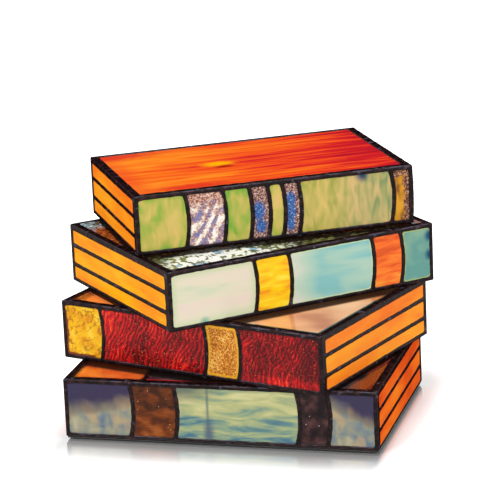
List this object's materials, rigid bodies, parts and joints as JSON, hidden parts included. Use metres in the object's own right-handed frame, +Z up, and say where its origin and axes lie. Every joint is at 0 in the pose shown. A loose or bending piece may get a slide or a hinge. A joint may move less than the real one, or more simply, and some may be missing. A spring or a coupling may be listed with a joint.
{
  "type": "stacked books lamp",
  "caption": "Accent lamp shaped as a stack of leaded-glass books, turned one on another, which lifts off a felted base with a candle-size bulb.",
  "frame": {"origin": "under the middle of the bottom book, on the surface that the felt pad rests on", "axes": "+Z up; +X along the bottom book's spine, to the right as seen from the spines; the spines face -Y and the cord bush points to +Y"},
  "size_m": [0.3156, 0.3124, 0.2091],
  "materials": {
    "solder": "black patina over soft solder, glossy",
    "glass_pages_orange": "streaky opalescent glass, lit from inside",
    "glass_pages_yellow": "streaky opalescent glass, lit from inside",
    "glass_green_mottled": "mottled opalescent glass",
    "glass_clear_iridescent": "rippled clear glass with a sheen",
    "glass_blue_textured": "textured glass with blue ovals",
    "glass_amber_textured": "textured amber glass",
    "glass_cover_red": "streaky red and orange glass, satin",
    "glass_cream": "wispy cream opalescent glass",
    "glass_yellow": "streaky yellow glass",
    "glass_aqua": "pale aqua opalescent glass",
    "glass_orange": "orange opalescent glass",
    "glass_teal": "teal opalescent glass",
    "glass_hammered": "hammered olive glass",
    "glass_amber_crackled": "crackled amber glass",
    "glass_red_ripple": "rippled red glass",
    "glass_cover_peach": "smooth peach opalescent glass",
    "glass_opal_blue": "opal glass, blue over cream",
    "glass_rust_seedy": "seedy rust-brown glass",
    "glass_opal_green": "pale green opal glass with blue streaks",
    "glass_purple_seedy": "seedy dark purple glass",
    "glass_cover_orange": "glossy orange opalescent glass",
    "glass_cover_grey": "dark blue-grey opalescent glass",
    "base_steel": "black painted pressed steel",
    "felt": "black felt",
    "bush_plastic": "black nylon",
    "brass": "plain brass",
    "holder_bakelite": "black moulded phenolic",
    "cap_metal": "bright rolled metal",
    "bulb_glass": "clear glass",
    "filament_metal": "thin metal wire and a glass stem"
  },
  "bodies": {
    "base": {"felt_pad": "felt", "base_tray": "base_steel", "cord_bush": "bush_plastic", "threaded_tube": "brass", "tube_nuts": "brass", "lamp_holder_body": "holder_bakelite", "holder_screw_shell": "brass", "holder_centre_contact": "brass"},
    "stack": {"bottom_solder": "solder", "bottom_spine_pane_1": "glass_opal_blue", "bottom_spine_pane_2": "glass_rust_seedy", "bottom_spine_pane_3": "glass_opal_green", "bottom_spine_pane_4": "glass_purple_seedy", "bottom_spine_pane_5": "glass_opal_blue", "bottom_page_strips_left": "glass_pages_orange", "bottom_page_strips_right": "glass_pages_orange", "bottom_page_strips_back": "glass_pages_orange", "bottom_cover_pane_1": "glass_cover_orange", "bottom_cover_pane_2": "glass_cover_grey", "second_solder": "solder", "second_spine_pane_1": "glass_amber_crackled", "second_spine_pane_2": "glass_red_ripple", "second_spine_pane_3": "glass_amber_crackled", "second_spine_pane_4": "glass_red_ripple", "second_page_strips_left": "glass_pages_orange", "second_page_strips_right": "glass_pages_orange", "second_page_strips_back": "glass_pages_orange", "second_cover_pane": "glass_cover_peach", "second_underside_pane": "glass_cover_peach", "third_solder": "solder", "third_spine_pane_1": "glass_cream", "third_spine_pane_2": "glass_yellow", "third_spine_pane_3": "glass_aqua", "third_spine_pane_4": "glass_orange", "third_spine_pane_5": "glass_teal", "third_page_strips_left": "glass_pages_yellow", "third_page_strips_right": "glass_pages_yellow", "third_page_strips_back": "glass_pages_yellow", "third_cover_pane": "glass_hammered", "third_underside_pane": "glass_hammered", "top_solder": "solder", "top_spine_pane_1": "glass_green_mottled", "top_spine_pane_2": "glass_clear_iridescent", "top_spine_pane_3": "glass_green_mottled", "top_spine_pane_4": "glass_blue_textured", "top_spine_pane_5": "glass_green_mottled", "top_spine_pane_6": "glass_blue_textured", "top_spine_pane_7": "glass_green_mottled", "top_spine_pane_8": "glass_amber_textured", "top_page_strips_left": "glass_pages_orange", "top_page_strips_right": "glass_pages_orange", "top_page_strips_back": "glass_pages_orange", "top_cover_pane": "glass_cover_red", "top_underside_pane": "glass_cover_red"},
    "bulb": {"bulb_cap": "cap_metal", "bulb_glass": "bulb_glass", "bulb_filament": "filament_metal"}
  },
  "joints": [
    {"name": "stack_lift", "type": "slide", "parent": "base", "child": "stack", "axis": [0, 0, 1], "range_m": [0, 0.15]},
    {"name": "bulb_turn", "type": "hinge", "parent": "base", "child": "bulb", "pos_m": [0, 0.036, 0.052], "axis": [0, 0, 1], "range_deg": [0, 900]}
  ]
}
